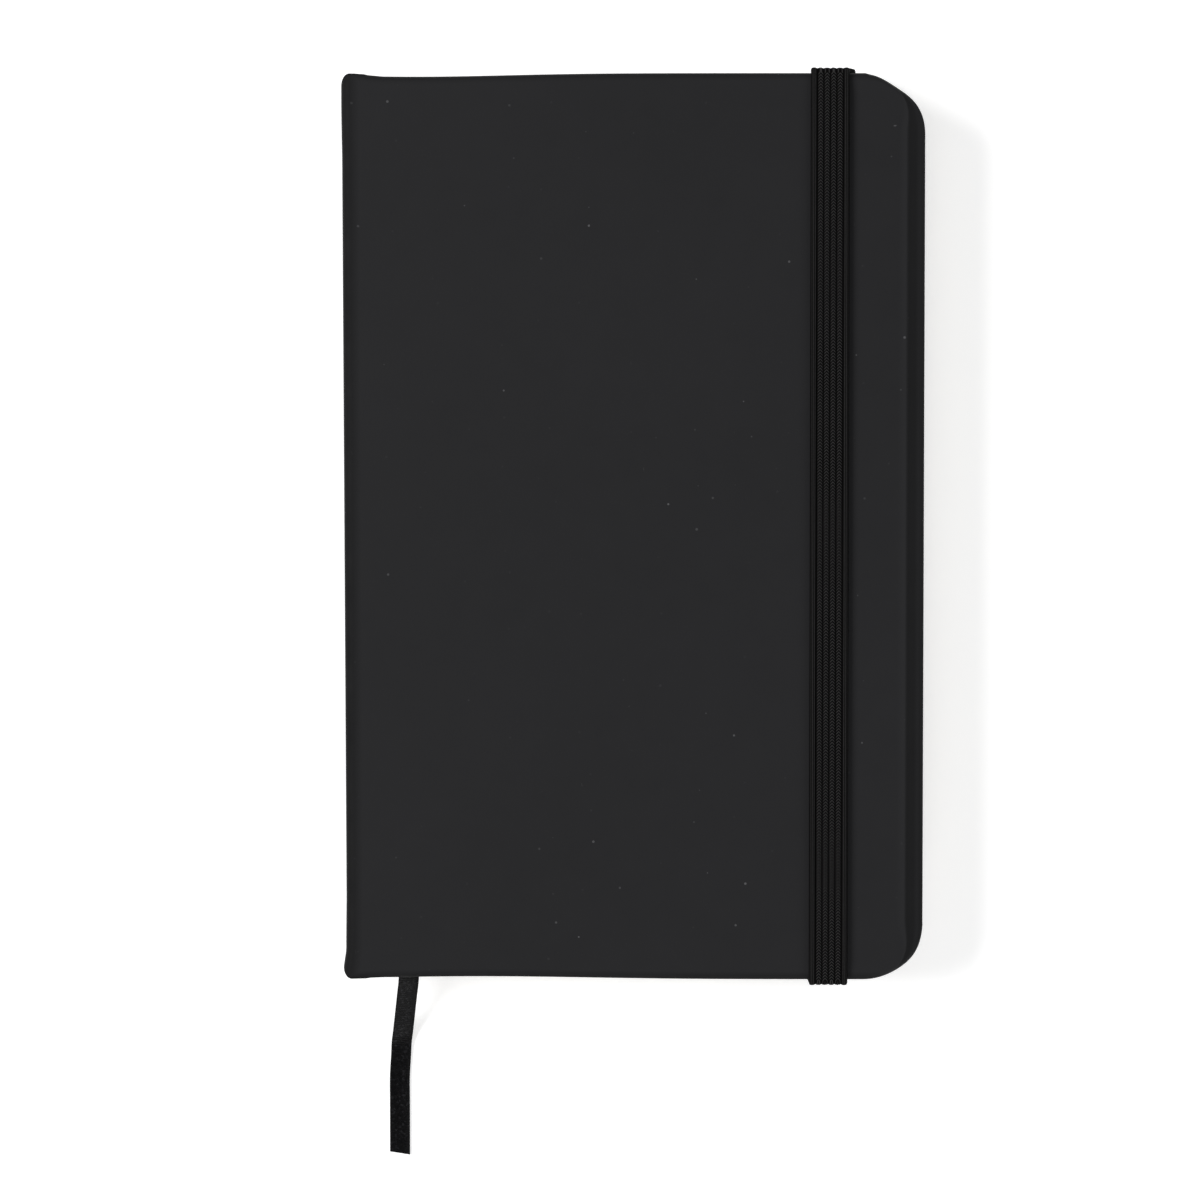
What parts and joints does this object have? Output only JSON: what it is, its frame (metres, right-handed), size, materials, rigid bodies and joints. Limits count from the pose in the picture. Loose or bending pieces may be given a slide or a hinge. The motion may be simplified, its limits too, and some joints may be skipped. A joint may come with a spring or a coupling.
{
  "type": "pocket notebook",
  "caption": "Closed hardback pocket notebook with rounded fore corners, a sewn text block, an elastic closure band and a ribbon marker; cover and pages open on the spine.",
  "frame": {"origin": "middle of the back cover's outer face, on which the closed notebook lies", "axes": "+X towards the fore edge, +Y towards the head, +Z out of the front cover"},
  "size_m": [0.09, 0.1718, 0.0151],
  "materials": {
    "cover_skin": "matt black leatherette, almost without grain",
    "greyboard": "dense grey bookbinder's board",
    "endpaper": "smooth uncoated ivory paper",
    "page_paper": "uncoated ivory paper, cut edges",
    "lining_paper": "brown kraft paper",
    "gauze": "open cotton gauze",
    "thread": "white sewing thread",
    "elastic": "black woven elastic with fine lengthwise ribs",
    "ribbon": "black satin ribbon"
  },
  "bodies": {
    "back_cover": {"back_board": "greyboard", "back_skin": "cover_skin", "back_pastedown": "endpaper", "back_flyleaf": "endpaper", "section_01": "page_paper", "section_02": "page_paper", "section_03": "page_paper", "section_04": "page_paper", "section_05": "page_paper", "section_06": "page_paper", "strap_head_leg": "elastic", "strap_tail_leg": "elastic", "strap_head_anchor": "elastic", "strap_tail_anchor": "elastic", "ribbon_held": "ribbon"},
    "spine": {"spine_board": "greyboard", "spine_skin": "cover_skin", "spine_lining": "lining_paper", "mull": "gauze", "sewing_thread": "thread", "ribbon_glued_end": "ribbon"},
    "front_pages": {"front_flyleaf": "endpaper", "section_07": "page_paper", "section_08": "page_paper", "section_09": "page_paper", "section_10": "page_paper", "section_11": "page_paper", "section_12": "page_paper"},
    "front_cover": {"front_board": "greyboard", "front_skin": "cover_skin", "front_pastedown": "endpaper"},
    "strap": {"strap_band": "elastic"},
    "ribbon": {"ribbon_tail": "ribbon"}
  },
  "joints": [
    {"name": "book_opening", "type": "hinge", "parent": "back_cover", "child": "spine", "pos_m": [-0.0451, 0, -0.0001], "axis": [0, -1, 0], "range_deg": [0, 90]},
    {"name": "front_pages_fold", "type": "hinge", "parent": "spine", "child": "front_pages", "pos_m": [-0.0451, 0, 0.01414], "axis": [0, -1, 0], "range_deg": [0, 90]},
    {"name": "cover_opening", "type": "hinge", "parent": "front_pages", "child": "front_cover", "pos_m": [-0.0451, 0, 0.01414], "axis": [0, 1, 0], "range_deg": [-179.5, 0]},
    {"name": "strap_swing", "type": "hinge", "parent": "back_cover", "child": "strap", "pos_m": [0.0303, 0, 0.00702], "axis": [0, 1, 0], "range_deg": [0, 180], "deforming": ["strap_band", "strap_head_leg", "strap_tail_leg"]},
    {"name": "ribbon_swing", "type": "hinge", "parent": "back_cover", "child": "ribbon", "pos_m": [-0.0355, -0.0675, 0.00702], "axis": [0, 0, 1], "range_deg": [-25, 25], "deforming": ["ribbon_tail"]}
  ],
  "couplings": [
    {"joint": "front_pages_fold", "follows": "book_opening", "ratio": 1}
  ]
}
